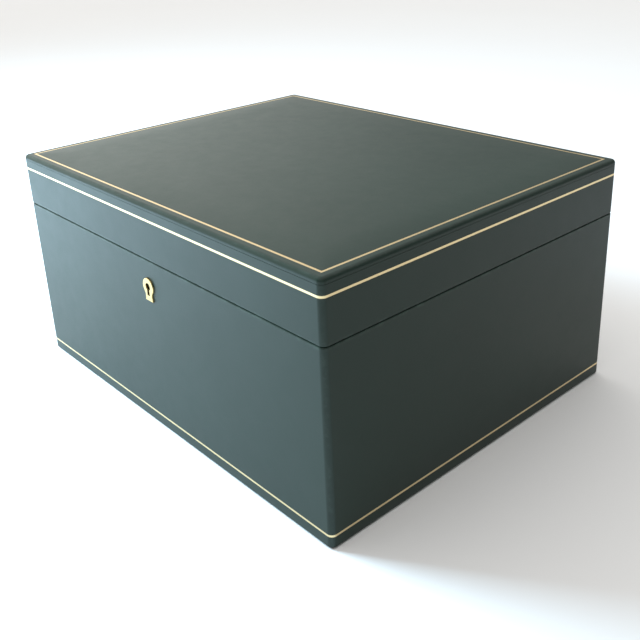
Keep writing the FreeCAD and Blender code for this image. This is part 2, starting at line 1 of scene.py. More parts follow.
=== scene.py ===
"""A leather covered lock box: the looks of its pieces, modelled round the packed model."""
import math

import bmesh
import bpy
from mathutils import Matrix, Vector


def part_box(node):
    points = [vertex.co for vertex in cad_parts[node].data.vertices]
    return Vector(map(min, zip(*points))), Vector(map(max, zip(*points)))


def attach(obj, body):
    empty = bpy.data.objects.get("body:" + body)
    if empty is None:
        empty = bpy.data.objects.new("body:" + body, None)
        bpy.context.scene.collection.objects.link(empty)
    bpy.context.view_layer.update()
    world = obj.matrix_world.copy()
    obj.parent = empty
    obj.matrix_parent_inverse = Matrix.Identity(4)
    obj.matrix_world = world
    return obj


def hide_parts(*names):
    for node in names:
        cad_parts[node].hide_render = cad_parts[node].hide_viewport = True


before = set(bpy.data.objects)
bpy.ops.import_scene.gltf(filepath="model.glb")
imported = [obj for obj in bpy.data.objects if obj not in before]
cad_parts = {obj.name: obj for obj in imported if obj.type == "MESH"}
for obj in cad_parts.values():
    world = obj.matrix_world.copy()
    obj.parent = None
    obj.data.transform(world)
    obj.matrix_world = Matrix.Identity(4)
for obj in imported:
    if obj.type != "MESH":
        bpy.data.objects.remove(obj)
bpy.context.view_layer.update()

bl_info = {
    "name": "Leather lock box",
    "version": (1, 0, 0),
    "blender": (4, 5, 0),
    "location": "3D View > Sidebar > Lock box",
    "description": "Models the leather, gold lines, brass and linings of a lock box",
    "category": "Object",
}

MM = 0.001
FINE = 1e-7
SKIN_GAP = 0.01 * MM
TOUCH = 1e-6
CLOTH_FRAMES = 20
SIDES = ("front", "back", "left", "right")
WADDING_ROOM = 0.3 * MM

# Places taken from the packed model, in metres.
CASE_LOW, CASE_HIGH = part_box("case_leather")
SIDE_LOW, SIDE_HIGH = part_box("lid_side_leather")
TOP_LOW, TOP_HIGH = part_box("lid_top_leather")
FOOT_LINE_LOW, FOOT_LINE_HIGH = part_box("foot_gold_line")
SIDE_LINE_LOW, SIDE_LINE_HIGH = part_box("lid_side_gold_line")
TOP_LINE_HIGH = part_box("lid_top_gold_line")[1]
WELL_LOW, WELL_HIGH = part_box("case_lining_front")
CASE_LEAVES_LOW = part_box("hinge_case_leaves")[0]
PLATE_LOW, PLATE_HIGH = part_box("escutcheon")
LOCK_LOW, LOCK_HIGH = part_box("lock_case")
LINK_LOW, LINK_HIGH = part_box("link_plate")
DRILL_LOW, DRILL_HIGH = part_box("lock_pin")
PINS_LOW, PINS_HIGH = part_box("hinge_pins")
HALF_W = CASE_HIGH.x
HALF_D = CASE_HIGH.y
WELL_W = WELL_HIGH.x
WELL_D = -WELL_LOW.y
SEAM_Z = (CASE_HIGH.z + SIDE_LOW.z) / 2
HINGE_Y = (PINS_LOW.y + PINS_HIGH.y) / 2
KEY_Z = (DRILL_LOW.z + DRILL_HIGH.z) / 2
TOP_LINE_INNER = min(abs(v.co.x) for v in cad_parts["lid_top_gold_line"].data.vertices)
LINE_WIDTH = TOP_LINE_HIGH.x - TOP_LINE_INNER
PIN_NEAR = min(v.co.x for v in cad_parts["hinge_pins"].data.vertices if v.co.x > 0)
HINGE_SPANS = ((PINS_LOW.x, -PIN_NEAR), (PIN_NEAR, PINS_HIGH.x))


def length(name, description, default, low=0.0, high=1.0):
    """A length in metres, for a property group."""
    return bpy.props.FloatProperty(name=name, description=description, default=default,
                                   min=low, max=high, precision=5, unit="LENGTH",
                                   subtype="DISTANCE")


def share(name, description, default, high=1.0):
    """A plain number from nothing upwards, for a property group."""
    return bpy.props.FloatProperty(name=name, description=description, default=default,
                                   min=0.0, max=high, subtype="FACTOR")


def tint(name, description, default):
    """A colour, for a property group."""
    return bpy.props.FloatVectorProperty(name=name, description=description, default=default,
                                         size=3, min=0.0, max=1.0, subtype="COLOR")


class LeatherSizes(bpy.types.PropertyGroup):
    """Sizes and colours of the leather."""
    thickness: length("Thickness", "Thickness of the leather", 1.15 * MM)
    corner: length("Corner", "Radius of the upright corners", 4.0 * MM)
    fold: length("Fold", "Radius where the leather turns over an edge", 0.8 * MM)
    arris: length("Arris", "Radius round the lid's top", 2.8 * MM)
    lip: length("Lip", "How far the turned-in leather stands from the board", 1.2 * MM)
    turn_in: length("Turn-in", "How far the leather is turned into the well", 8.0 * MM)
    groove: length("Groove", "Depth of the grooves of the gold lines", 0.25 * MM)
    crown: length("Crown", "Rise of the lid's top", 0.8 * MM)
    crown_start: length("Crown start", "Distance of the crown from the edge", 8.5 * MM)
    crown_run: length("Crown run", "Width over which the top rises", 25.0 * MM)
    colour: tint("Colour", "Colour of the leather", (0.0080, 0.0220, 0.0155))
    worn: tint("Worn colour", "Colour where the leather is rubbed", (0.045, 0.075, 0.062))
    grain: share("Grain", "Strength of the grain", 0.35)
    roughness: share("Roughness", "Mean roughness of the leather", 0.42)
    gloss: share("Gloss", "Strength of the leather's reflections", 0.32)


class GoldSizes(bpy.types.PropertyGroup):
    """Sizes and colours of the gold lines."""
    recess: length("Recess", "How far the foil lies below the leather", 0.05 * MM)
    colour: tint("Colour", "Colour of the foil", (0.82, 0.66, 0.38))
    wear: share("Wear", "How much of the foil has rubbed away", 0.12)


class MetalSizes(bpy.types.PropertyGroup):
    """Sizes and colours of the brass and steel."""
    brass: tint("Brass", "Colour of the hinges and the lock", (0.83, 0.58, 0.27))
    plate: tint("Plate", "Colour of the keyhole plate", (0.56, 0.42, 0.19))
    steel: tint("Steel", "Colour of the bolt, the spring and the drill pin", (0.50, 0.50, 0.51))
    edge: length("Edge", "Width of the broken edges", 0.15 * MM)
    leaf: length("Leaf", "Thickness of the hinges' leaves", 2.0 * MM)
    barrel: length("Barrel", "Radius of the hinges' barrels", 3.0 * MM)
    barrel_room: length("Barrel room", "Room left round the barrels", 0.3 * MM)
    selvedge: length("Selvedge", "Thickness of the lock's top plate", 1.5 * MM)
    head: length("Head", "Radius of the keyhole plate's round head", 6.3 * MM)
    plate_edge: length("Plate edge", "Radius of the keyhole plate's edge", 0.4 * MM)
    key_head: length("Key head", "Radius of the keyhole's round head", 2.7 * MM)
    key_reach: length("Key reach", "From the key's axis to the foot of the hole", 6.45 * MM)
    key_stem: length("Key stem", "Width of the hole's stem under its head", 2.4 * MM)
    key_foot: length("Key foot", "Width of the hole's stem at its foot", 3.0 * MM)
    key_room: length("Key room", "How much larger the hole is in the leather", 0.3 * MM)
    waist: length("Waist", "Width of the keyhole plate's waist", 7.8 * MM)
    waist_drop: length("Waist drop", "From the key's axis to the waist", 6.6 * MM)
    plate_foot: length("Plate foot", "Width of the keyhole plate's foot", 8.8 * MM)
    prong: length("Prong", "Radius of the plate's prongs", 0.7 * MM)
    prong_rise: length("Prong rise", "From the key's axis up to the top prong", 5.0 * MM)


class LiningSizes(bpy.types.PropertyGroup):
    """Sizes and colours of the linings and pads."""
    colour: tint("Colour", "Colour of the suede", (0.42, 0.32, 0.215))
    soft_edge: length("Soft edge", "Radius of the panels' edges", 1.1 * MM)
    swell: length("Swell", "How far the pads' filling pushes out", 1.6 * MM)
    mesh: length("Mesh", "Spacing of the pads' mesh", 5.0 * MM)
    fill: share("Fill", "How tightly the pads are filled", 0.85)
    pressure: share("Pressure", "Pressure of the pads' filling", 4.0, 20.0)


class StudioSizes(bpy.types.PropertyGroup):
    """Camera, floor and lights."""
    eye: bpy.props.FloatVectorProperty(name="Eye", description="Place of the camera",
                                       default=(0.4698, -0.3959, 0.3473), size=3,
                                       unit="LENGTH", subtype="XYZ")
    turn: bpy.props.FloatProperty(name="Turn", description="Camera's angle from the front",
                                  default=math.radians(48.954), subtype="ANGLE")
    tilt: bpy.props.FloatProperty(name="Tilt", description="How far the camera looks down",
                                  default=math.radians(21.631), subtype="ANGLE")
    roll: bpy.props.FloatProperty(name="Roll", description="Roll of the camera",
                                  default=math.radians(-2.443), subtype="ANGLE")
    lens: bpy.props.FloatProperty(name="Lens", description="Focal length in millimetres",
                                  default=48.135)
    shift: bpy.props.FloatProperty(name="Shift", description="Upright shift of the lens",
                                   default=-0.125)
    floor: tint("Floor", "Colour of the floor", (0.82, 0.82, 0.815))
    room: share("Room", "Brightness of the room", 0.6, 10.0)
    sky: share("Sky", "Strength of the light from above", 1.9, 10.0)
    window: share("Window", "Brightness of the light from the left", 1.9, 10.0)


# ---- Shader expressions ---------------------------------------------------------------


class Value:
    """A node's output. Sums and products of values add their Math nodes."""

    def __init__(self, recipe, output):
        self.recipe = recipe
        self.output = output

    def math(self, operation, *others):
        inputs = dict(enumerate((self,) + others))
        return self.recipe.node("ShaderNodeMath", {"operation": operation}, inputs)

    def reflected(self, operation, other):
        return self.recipe.node("ShaderNodeMath", {"operation": operation}, {0: other, 1: self})

    def __add__(self, other):
        return self.math("ADD", other)

    __radd__ = __add__

    def __sub__(self, other):
        return self.math("SUBTRACT", other)

    def __rsub__(self, other):
        return self.reflected("SUBTRACT", other)

    def __mul__(self, other):
        return self.math("MULTIPLY", other)

    __rmul__ = __mul__

    def __truediv__(self, other):
        return self.math("DIVIDE", other)

    def __rtruediv__(self, other):
        return self.reflected("DIVIDE", other)

    def __pow__(self, other):
        return self.math("POWER", other)

    def __abs__(self):
        return self.math("ABSOLUTE")

    def at_least(self, other):
        return self.math("MAXIMUM", other)

    def between(self, low, high):
        """Nothing at low, one at high, and a smooth rise from one to the other."""
        settings = {"interpolation_type": "SMOOTHSTEP"}
        inputs = {"Value": self, "From Min": low, "From Max": high}
        return self.recipe.node("ShaderNodeMapRange", settings, inputs)


class Recipe:
    """The nodes of one finish: of a material, or of the room's light."""

    def __init__(self, owner, shader="Principled BSDF", place="Object"):
        owner.use_nodes = True
        self.owner = owner
        self.tree = owner.node_tree
        self.shader = self.tree.nodes[shader]
        self.place = self.node("ShaderNodeTexCoord", {}, {}, place)

    def fill(self, socket, value):
        if isinstance(value, Value):
            self.tree.links.new(value.output, socket)
        elif hasattr(value, "__len__") and len(value) == 3 and socket.type == "RGBA":
            socket.default_value = (*value, 1.0)
        else:
            socket.default_value = value

    def node(self, kind, settings, inputs, output=0):
        """Adds a node: its settings first, then its sockets' values or links."""
        node = self.tree.nodes.new(kind)
        for name, value in settings.items():
            if name == "stops":
                self.stops(node.color_ramp, value)
            else:
                setattr(node, name, value)
        for name, value in inputs.items():
            self.fill(node.inputs[name], value)
        return Value(self, node.outputs[output])

    def stops(self, ramp, stops):
        while len(ramp.elements) < len(stops):
            ramp.elements.new(1.0)
        for element, (place, colour) in zip(ramp.elements, stops):
            element.position = place
            element.color = (*colour, 1.0)

    def mix(self, factor, first, second):
        """A blend of two colours."""
        settings = {"data_type": "RGBA"}
        return self.node("ShaderNodeMix", settings, {0: factor, 6: first, 7: second}, 2)

    def darken(self, colour, amount):
        """A colour multiplied by a value."""
        settings = {"operation": "SCALE"}
        return self.node("ShaderNodeVectorMath", settings, {0: colour, "Scale": amount})

    def stretched(self, x, y, z):
        """The place, stretched along the axes."""
        settings = {"operation": "MULTIPLY"}
        return self.node("ShaderNodeVectorMath", settings, {0: self.place, 1: (x, y, z)})

    def along(self):
        """The place's three coordinates."""
        node = self.node("ShaderNodeSeparateXYZ", {}, {0: self.place})
        outputs = node.output.node.outputs
        return [Value(self, output) for output in outputs]

    def noise(self, scale, detail=3.0, roughness=0.5, place=None, distortion=0.0):
        """Soft noise about one half, in features of one over scale metres."""
        inputs = {"Vector": place or self.place, "Scale": scale, "Detail": detail,
                  "Roughness": roughness, "Distortion": distortion}
        return self.node("ShaderNodeTexNoise", {}, inputs)

    def cells(self, scale, place=None, feature="F1", smoothness=1.0):
        """Distance from the nearest of many scattered points."""
        inputs = {"Vector": place or self.place, "Scale": scale}
        if feature == "SMOOTH_F1":
            inputs["Smoothness"] = smoothness
        return self.node("ShaderNodeTexVoronoi", {"feature": feature}, inputs)

    def bump(self, height, depth, strength=1.0):
        """Relief of a depth in metres, fed to the shader's normal."""
        inputs = {"Strength": strength, "Distance": depth, "Height": height}
        self.fill(self.shader.inputs["Normal"], self.node("ShaderNodeBump", {}, inputs))

    def finish(self, **sockets):
        """Sets the shader's own sockets: a name with its spaces as underscores."""
        for name, value in sockets.items():
            self.fill(self.shader.inputs[name.replace("_", " ")], value)
        return self.owner


def new_finish(name):
    """A new material to be filled with nodes."""
    return Recipe(bpy.data.materials.new(name))


def edge_wear(recipe, top, foot):
    """One along the arrises and corners of a box between two levels, nothing elsewhere."""
    x, y, z = recipe.along()
    near_x = abs(x).between(HALF_W - 3.2 * MM, HALF_W - 0.3 * MM)
    near_y = abs(y).between(HALF_D - 3.2 * MM, HALF_D - 0.3 * MM)
    near_top = z.between(top - 2.6 * MM, top - 0.3 * MM)
    near_foot = z.between(foot + 2.2 * MM, foot + 0.2 * MM)
    near_z = near_top.at_least(near_foot)
    upright = near_x * near_y
    level = near_x.at_least(near_y) * near_z
    return upright.at_least(level)


def leather_finish(name, sizes, top, foot):
    """Smooth green calf: fine grain, soft clouds of colour, rubbed edges."""
    recipe = new_finish(name)
    clouds = recipe.noise(14.0, 3.0, 0.55)
    mottle = recipe.noise(95.0, 4.0, 0.6)
    speck = recipe.noise(900.0, 2.0, 0.6)
    wander = recipe.noise(420.0, 2.0, 0.5)
    warped = recipe.node("ShaderNodeVectorMath", {"operation": "MULTIPLY_ADD"},
                         {0: wander, 1: (0.0006, 0.0006, 0.0006), 2: recipe.place})
    pebbles = recipe.cells(1150.0, warped, "SMOOTH_F1", 0.6)
    pores = recipe.cells(430.0, warped).between(0.16, 0.04)
    rub_noise = recipe.noise(160.0, 4.0, 0.65).between(0.42, 0.72)
    wear = edge_wear(recipe, top, foot) * (rub_noise * 0.55 + 0.05)
    shade = 0.80 + 0.22 * clouds + 0.20 * mottle - 0.18 * pores
    base = recipe.darken(tuple(sizes.colour), shade)
    colour = recipe.mix(wear, base, tuple(sizes.worn))
    roughness = sizes.roughness - 0.05 + 0.10 * mottle + 0.06 * speck - 0.06 * wear
    height = 0.55 * pebbles + 0.5 * speck - 0.8 * pores + 3.0 * mottle
    recipe.bump(height, 0.05 * MM, sizes.grain)
    return recipe.finish(Base_Color=colour, Roughness=roughness, IOR=1.45,
                         Specular_IOR_Level=sizes.gloss, Coat_Weight=0.08 + 0.05 * clouds,
                         Coat_Roughness=0.30, Coat_IOR=1.45)


def gold_finish(gold, leather):
    """Gold foil pressed into leather, broken here and there."""
    recipe = new_finish("gold_foil")
    breaks = recipe.noise(520.0, 5.0, 0.7)
    patches = recipe.noise(60.0, 2.0, 0.5)
    limit = gold.wear * 0.9 + 0.22
    gone = (breaks * 0.8 + patches * 0.2).between(limit + 0.035, limit - 0.035)
    grain = recipe.noise(1500.0, 2.0, 0.5)
    shade = 0.86 + 0.2 * grain
    foil = recipe.darken(tuple(gold.colour), shade)
    colour = recipe.mix(gone, foil, tuple(leather.colour))
    recipe.bump(grain * 0.5 + breaks, 0.03 * MM, 0.4)
    return recipe.finish(Base_Color=colour, Metallic=1.0 - gone,
                         Roughness=0.30 + 0.16 * grain + 0.15 * gone)


def brushed_finish(name, colour, rough, along, tarnish):
    """Metal rubbed along one axis, with faint scratches and tarnish."""
    recipe = new_finish(name)
    stretch = [2600.0, 2600.0, 2600.0]
    stretch[along] = 130.0
    strokes = recipe.noise(1.0, 3.0, 0.6, recipe.stretched(*stretch))
    stains = recipe.noise(170.0, 4.0, 0.6).between(0.45, 0.75)
    scratch = recipe.noise(1.0, 1.0, 0.4, recipe.stretched(9000.0, 700.0, 5200.0))
    scored = scratch.between(0.70, 0.76)
    shade = 0.90 + 0.14 * strokes - tarnish * stains
    recipe.bump(strokes - 0.6 * scored, 0.012 * MM, 0.5)
    return recipe.finish(Base_Color=recipe.darken(colour, shade), Metallic=1.0,
                         Roughness=rough + 0.12 * stains + 0.06 * strokes + 0.08 * scored)


def suede_finish(name, colour, depth):
    """Brushed suede: a short nap that lies in soft patches."""
    recipe = new_finish(name)
    lay = recipe.noise(34.0, 3.0, 0.6, None, 0.6)
    nap = recipe.noise(1900.0, 3.0, 0.65)
    tufts = recipe.noise(520.0, 3.0, 0.6)
    shade = 0.72 + 0.26 * lay + 0.22 * nap + 0.12 * tufts
    recipe.bump(nap * 0.6 + tufts * 0.7 + lay * 0.4, depth, 0.7)
    return recipe.finish(Base_Color=recipe.darken(colour, shade), Roughness=0.86 + 0.1 * nap,
                         Sheen_Weight=0.35, Sheen_Roughness=0.45, IOR=1.35)


def felt_finish():
    """Dark green baize: matted fibres."""
    recipe = new_finish("green_baize")
    fibres = recipe.noise(1400.0, 4.0, 0.75, None, 1.8)
    tufts = recipe.noise(260.0, 3.0, 0.6)
    shade = 0.55 + 0.6 * fibres + 0.3 * tufts
    recipe.bump(fibres + 0.5 * tufts, 0.12 * MM, 0.8)
    return recipe.finish(Base_Color=recipe.darken((0.022, 0.045, 0.035), shade), Roughness=0.93,
                         Sheen_Weight=0.3, Sheen_Roughness=0.5)


def wood_finish():
    """Pale close-grained wood."""
    recipe = new_finish("pale_wood")
    streaks = recipe.noise(1.0, 4.0, 0.6, recipe.stretched(14.0, 160.0, 260.0))
    pores = recipe.noise(1.0, 2.0, 0.6, recipe.stretched(90.0, 1500.0, 1900.0))
    recipe.bump(pores + 0.4 * streaks, 0.05 * MM, 0.6)
    light = recipe.mix(streaks, (0.50, 0.34, 0.19), (0.72, 0.55, 0.35))
    colour = recipe.mix(pores.between(0.62, 0.72) * 0.5, light, (0.33, 0.21, 0.11))
    return recipe.finish(Base_Color=colour, Roughness=0.58 + 0.15 * pores)


def wadding_finish():
    """Off-white cotton wadding."""
    recipe = new_finish("cotton_wadding")
    fibres = recipe.noise(800.0, 5.0, 0.75, None, 2.0)
    lumps = recipe.noise(110.0, 3.0, 0.6)
    recipe.bump(fibres + lumps, 0.2 * MM, 0.8)
    return recipe.finish(Base_Color=recipe.darken((0.78, 0.75, 0.68), 0.8 + 0.25 * fibres),
                         Roughness=0.95 - 0.05 * lumps)


def floor_finish(colour):
    """Pale matt studio paper."""
    recipe = new_finish("studio_floor")
    tone = recipe.noise(3.0, 2.0, 0.5)
    tooth = recipe.noise(700.0, 2.0, 0.5)
    recipe.bump(tooth, 0.02 * MM, 0.2)
    return recipe.finish(Base_Color=recipe.darken(colour, 0.99 + 0.02 * tone),
                         Roughness=0.85 + 0.05 * tone, Specular_IOR_Level=0.2)


# ---- Modelling by hand, in code -------------------------------------------------------


def deselect():
    """Leaves edit mode with nothing selected."""
    if bpy.context.mode != "OBJECT":
        bpy.ops.object.mode_set(mode="OBJECT")
    bpy.ops.object.select_all(action="DESELECT")


def hold(obj):
    """Makes one object the selected and active one."""
    deselect()
    obj.select_set(True)
    bpy.context.view_layer.objects.active = obj


def edit(obj):
    """Opens one object in edit mode."""
    hold(obj)
    bpy.ops.object.mode_set(mode="EDIT")


def place_mesh(name):
    """Names the new primitive and puts its place into its mesh."""
    obj = bpy.context.object
    obj.name = name
    obj.data.name = name
    bpy.ops.object.transform_apply(location=True, rotation=True, scale=True)
    return obj


def block(name, low, high):
    """A block between two corners."""
    deselect()
    low = Vector(low)
    high = Vector(high)
    bpy.ops.mesh.primitive_cube_add(size=1, location=(low + high) / 2, scale=high - low)
    return place_mesh(name)


def rod(name, radius, start, end, vertices=48):
    """A round bar between two points."""
    deselect()
    start = Vector(start)
    axis = Vector(end) - start
    turn = axis.to_track_quat("Z", "Y").to_euler()
    bpy.ops.mesh.primitive_cylinder_add(vertices=vertices, radius=radius, depth=axis.length,
                                        location=start + axis / 2, rotation=turn)
    return place_mesh(name)


def pick(obj, kind, test):
    """Selects the vertices, edges or faces that pass the test, and nothing else."""
    bpy.ops.mesh.select_mode(type=kind)
    bpy.ops.mesh.select_all(action="DESELECT")
    shape = bmesh.from_edit_mesh(obj.data)
    groups = {"VERT": shape.verts, "EDGE": shape.edges, "FACE": shape.faces}
    count = 0
    for item in groups[kind]:
        if test(item):
            item.select_set(True)
            count += 1
    bmesh.update_edit_mesh(obj.data)
    return count


def middle(item):
    """The middle of an edge or a face."""
    return sum((vertex.co for vertex in item.verts), Vector()) / len(item.verts)


def slice_at(axis, places):
    """Cuts the open mesh across, square to one axis, at several places."""
    for place in places:
        at = Vector((0.0, 0.0, 0.0))
        square = Vector((0.0, 0.0, 0.0))
        at[axis] = place
        square[axis] = 1.0
        bpy.ops.mesh.select_all(action="SELECT")
        bpy.ops.mesh.bisect(plane_co=at, plane_no=square, threshold=FINE)


def both(*places):
    """Each place, on both sides of the middle."""
    return [side * place for place in places for side in (-1.0, 1.0)]


def round_over(radius, segments):
    """Rounds the selected edges."""
    bpy.ops.mesh.bevel(offset=radius, offset_type="OFFSET", segments=segments, profile=0.5,
                       affect="EDGES", clamp_overlap=True)


def is_upright(edge):
    """True for an edge that stands straight up."""
    first, second = (vertex.co for vertex in edge.verts)
    return abs(first.x - second.x) + abs(first.y - second.y) < TOUCH


def is_level(edge):
    """True for an edge that lies level."""
    first, second = (vertex.co for vertex in edge.verts)
    return abs(first.z - second.z) < TOUCH


def is_sharp(edge):
    """True for a right-angled edge between two faces."""
    return len(edge.link_faces) == 2 and edge.calc_face_angle(0.0) > 1.0


def add_modifier(obj, kind, **settings):
    """Adds a modifier and applies it."""
    hold(obj)
    modifier = obj.modifiers.new(kind.lower(), kind)
    for name, value in settings.items():
        setattr(modifier, name, value)
    bpy.ops.object.modifier_apply(modifier=modifier.name)


def carve(obj, cutter, solver="EXACT"):
    """Cuts one shape out of another."""
    add_modifier(obj, "BOOLEAN", operation="DIFFERENCE", solver=solver, object=cutter)
    bpy.data.objects.remove(cutter)


def weld(obj):
    """Merges doubled points and turns the faces outward."""
    edit(obj)
    bpy.ops.mesh.select_all(action="SELECT")
    bpy.ops.mesh.remove_doubles(threshold=TOUCH)
    bpy.ops.mesh.normals_make_consistent(inside=False)
    bpy.ops.object.mode_set(mode="OBJECT")


def smooth(obj, degrees=35.0, weighted=True):
    """Smooth shading with crisp edges, flat faces kept flat."""
    hold(obj)
    bpy.ops.object.shade_smooth_by_angle(angle=math.radians(degrees))
    if weighted:
        add_modifier(obj, "WEIGHTED_NORMAL", mode="FACE_AREA", weight=50, keep_sharp=True)
    deselect()


def dress(obj, material, body, slot, *nodes):
    """Gives a finished piece its material, its body and the nodes it stands for."""
    obj.data.materials.clear()
    obj.data.materials.append(material)
    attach(obj, body)
    if nodes:
        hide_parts(*nodes)


def finish_node(node, material):
    """Gives a carried-over node its material."""
    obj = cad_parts[node]
    obj.data.materials.clear()
    obj.data.materials.append(material)


# ---- Leather --------------------------------------------------------------------------


def side_distance(point, corner):
    """How far a point stands outside the rounded plan of the box; inside it is negative."""
    dx = abs(point.x) - (HALF_W - corner)
    dy = abs(point.y) - (HALF_D - corner)
    outside = Vector((max(dx, 0.0), max(dy, 0.0))).length
    return outside + min(max(dx, dy), 0.0) - corner


def press_side_line(obj, sizes, low, high):
    """Presses the groove of a gold line round the sides."""
    edit(obj)
    slice_at(2, (low, high))

    def on_line(face):
        centre = middle(face)
        inside = low < centre.z < high
        return inside and side_distance(centre, sizes.corner) > -0.3 * MM

    pick(obj, "FACE", on_line)
    bpy.ops.mesh.extrude_region_shrink_fatten(
        TRANSFORM_OT_shrink_fatten={"value": -sizes.groove, "use_even_offset": True})
    bpy.ops.object.mode_set(mode="OBJECT")


def turned_skin(name, sizes, low, high, rim, lip, open_top):
    """A leather skin round the sides, folded over the rim and turned into the well."""
    # The thickening puts the outer face this little outside the sheet it starts from.
    gap = Vector((SKIN_GAP, SKIN_GAP, SKIN_GAP))
    obj = block(name, low + gap, high - gap)
    edit(obj)
    pick(obj, "EDGE", is_upright)
    round_over(sizes.corner, 8)
    lip_w = WELL_W - sizes.lip
    lip_d = WELL_D - sizes.lip
    slice_at(0, both(lip_w))
    slice_at(1, both(lip_d))

    def not_skin(face):
        centre = middle(face)
        flat = abs(face.normal.z) > 0.9
        within = abs(centre.x) < lip_w and abs(centre.y) < lip_d
        return flat and (within or (open_top and face.normal.z > 0.9))

    pick(obj, "FACE", not_skin)
    bpy.ops.mesh.delete(type="FACE")

    def well_edge(edge):
        level = all(abs(vertex.co.z - rim) < 2 * SKIN_GAP for vertex in edge.verts)
        centre = middle(edge)
        within = abs(centre.x) < lip_w + 1e-5 and abs(centre.y) < lip_d + 1e-5
        return level and within and edge.is_boundary

    pick(obj, "EDGE", well_edge)
    reach = lip - math.copysign(SKIN_GAP, lip)
    bpy.ops.mesh.extrude_region_move(TRANSFORM_OT_translate={"value": (0.0, 0.0, reach)})
    bpy.ops.mesh.select_all(action="SELECT")
    bpy.ops.mesh.normals_make_consistent(inside=False)
    bpy.ops.object.mode_set(mode="OBJECT")
    add_modifier(obj, "SOLIDIFY", solidify_mode="NON_MANIFOLD", thickness=sizes.thickness,
                 nonmanifold_thickness_mode="CONSTRAINTS", offset=-1.0)
    edit(obj)

    def folded(edge):
        at_level = any(abs(middle(edge).z - level) < TOUCH for level in (low.z, high.z))
        return is_level(edge) and is_sharp(edge) and at_level

    pick(obj, "EDGE", folded)
    round_over(sizes.fold, 4)
    bpy.ops.object.mode_set(mode="OBJECT")
    return obj


def carve_hinges(obj, metal, rim, upward):
    """Lets the hinges' leaves and barrels into a skin."""
    foot, top = (rim - MM, rim + metal.leaf) if upward else (rim - metal.leaf, rim + MM)
    notch_radius = metal.barrel + metal.barrel_room
    for x0, x1 in HINGE_SPANS:
        carve(obj, block("seat", (x0, CASE_LEAVES_LOW.y, foot), (x1, HINGE_Y + 2 * MM, top)))
        carve(obj, rod("notch", notch_radius, (x0, HINGE_Y, SEAM_Z), (x1, HINGE_Y, SEAM_Z)))


def keyhole_cutter(metal, y0, y1, grow):
    """The shape of the keyhole: a round head, and a stem that widens to its foot."""
    cutter = rod("keyhole", metal.key_head + grow, (0.0, y0, KEY_Z), (0.0, y1, KEY_Z), 64)
    neck = metal.key_stem / 2 + grow
    foot = metal.key_foot / 2 + grow
    stem = block("stem", (-neck, y0, KEY_Z - metal.key_reach - grow), (neck, y1, KEY_Z))
    edit(stem)
    pick(stem, "VERT", lambda vertex: vertex.co.z < KEY_Z - metal.key_reach / 2)
    bpy.ops.transform.resize(value=(foot / neck, 1.0, 1.0))
    bpy.ops.object.mode_set(mode="OBJECT")
    add_modifier(cutter, "BOOLEAN", operation="UNION", solver="EXACT", object=stem)
    bpy.data.objects.remove(stem)
    return cutter


def close_skin(obj, material, body, node):
    """Welds, smooths and dresses a leather skin."""
    weld(obj)
    smooth(obj)
    dress(obj, material, body, "leather", node)


class BOX_OT_case_leather(bpy.types.Operator):
    """Makes the leather of the case"""
    bl_idname = "lockbox.case_leather"
    bl_label = "Case leather"

    def execute(self, context):
        sizes = context.scene.box_leather
        metal = context.scene.box_metal
        rim = CASE_HIGH.z
        skin = turned_skin("case_skin", sizes, CASE_LOW, CASE_HIGH, rim, -sizes.turn_in, False)
        press_side_line(skin, sizes, FOOT_LINE_LOW.z, FOOT_LINE_HIGH.z)
        carve_hinges(skin, metal, rim, False)
        selvedge = (LOCK_LOW.x, LOCK_LOW.y, rim - metal.selvedge)
        carve(skin, block("seat", selvedge, (LOCK_HIGH.x, LOCK_HIGH.y, rim + MM)))
        carve(skin, keyhole_cutter(metal, -HALF_D - MM, -WELL_D + 2 * MM, metal.key_room))
        for place in prong_places(metal):
            carve(skin, rod("prong_hole", metal.prong, (0.0, -HALF_D - MM, place),
                            (0.0, PLATE_HIGH.y, place), 16))
        material = leather_finish("case_calf", sizes, CASE_HIGH.z, CASE_LOW.z)
        close_skin(skin, material, "case", "case_leather")
        return {"FINISHED"}


class BOX_OT_lid_side_leather(bpy.types.Operator):
    """Makes the leather round the lid's sides"""
    bl_idname = "lockbox.lid_side_leather"
    bl_label = "Lid side leather"

    def execute(self, context):
        sizes = context.scene.box_leather
        metal = context.scene.box_metal
        rim = SIDE_LOW.z
        skin = turned_skin("lid_side_skin", sizes, SIDE_LOW, SIDE_HIGH, rim, sizes.turn_in, True)
        press_side_line(skin, sizes, SIDE_LINE_LOW.z, SIDE_LINE_HIGH.z)
        carve_hinges(skin, metal, rim, True)
        link = (LINK_LOW.x, LINK_LOW.y, rim - MM)
        carve(skin, block("seat", link, (LINK_HIGH.x, LINK_HIGH.y, LINK_HIGH.z)))
        material = leather_finish("lid_side_calf", sizes, TOP_HIGH.z + 10 * MM, SIDE_LOW.z)
        close_skin(skin, material, "lid", "lid_side_leather")
        return {"FINISHED"}


def inset_of(point):
    """How far a point of the lid's top lies in from the nearest side."""
    return min(HALF_W - abs(point.x), HALF_D - abs(point.y))


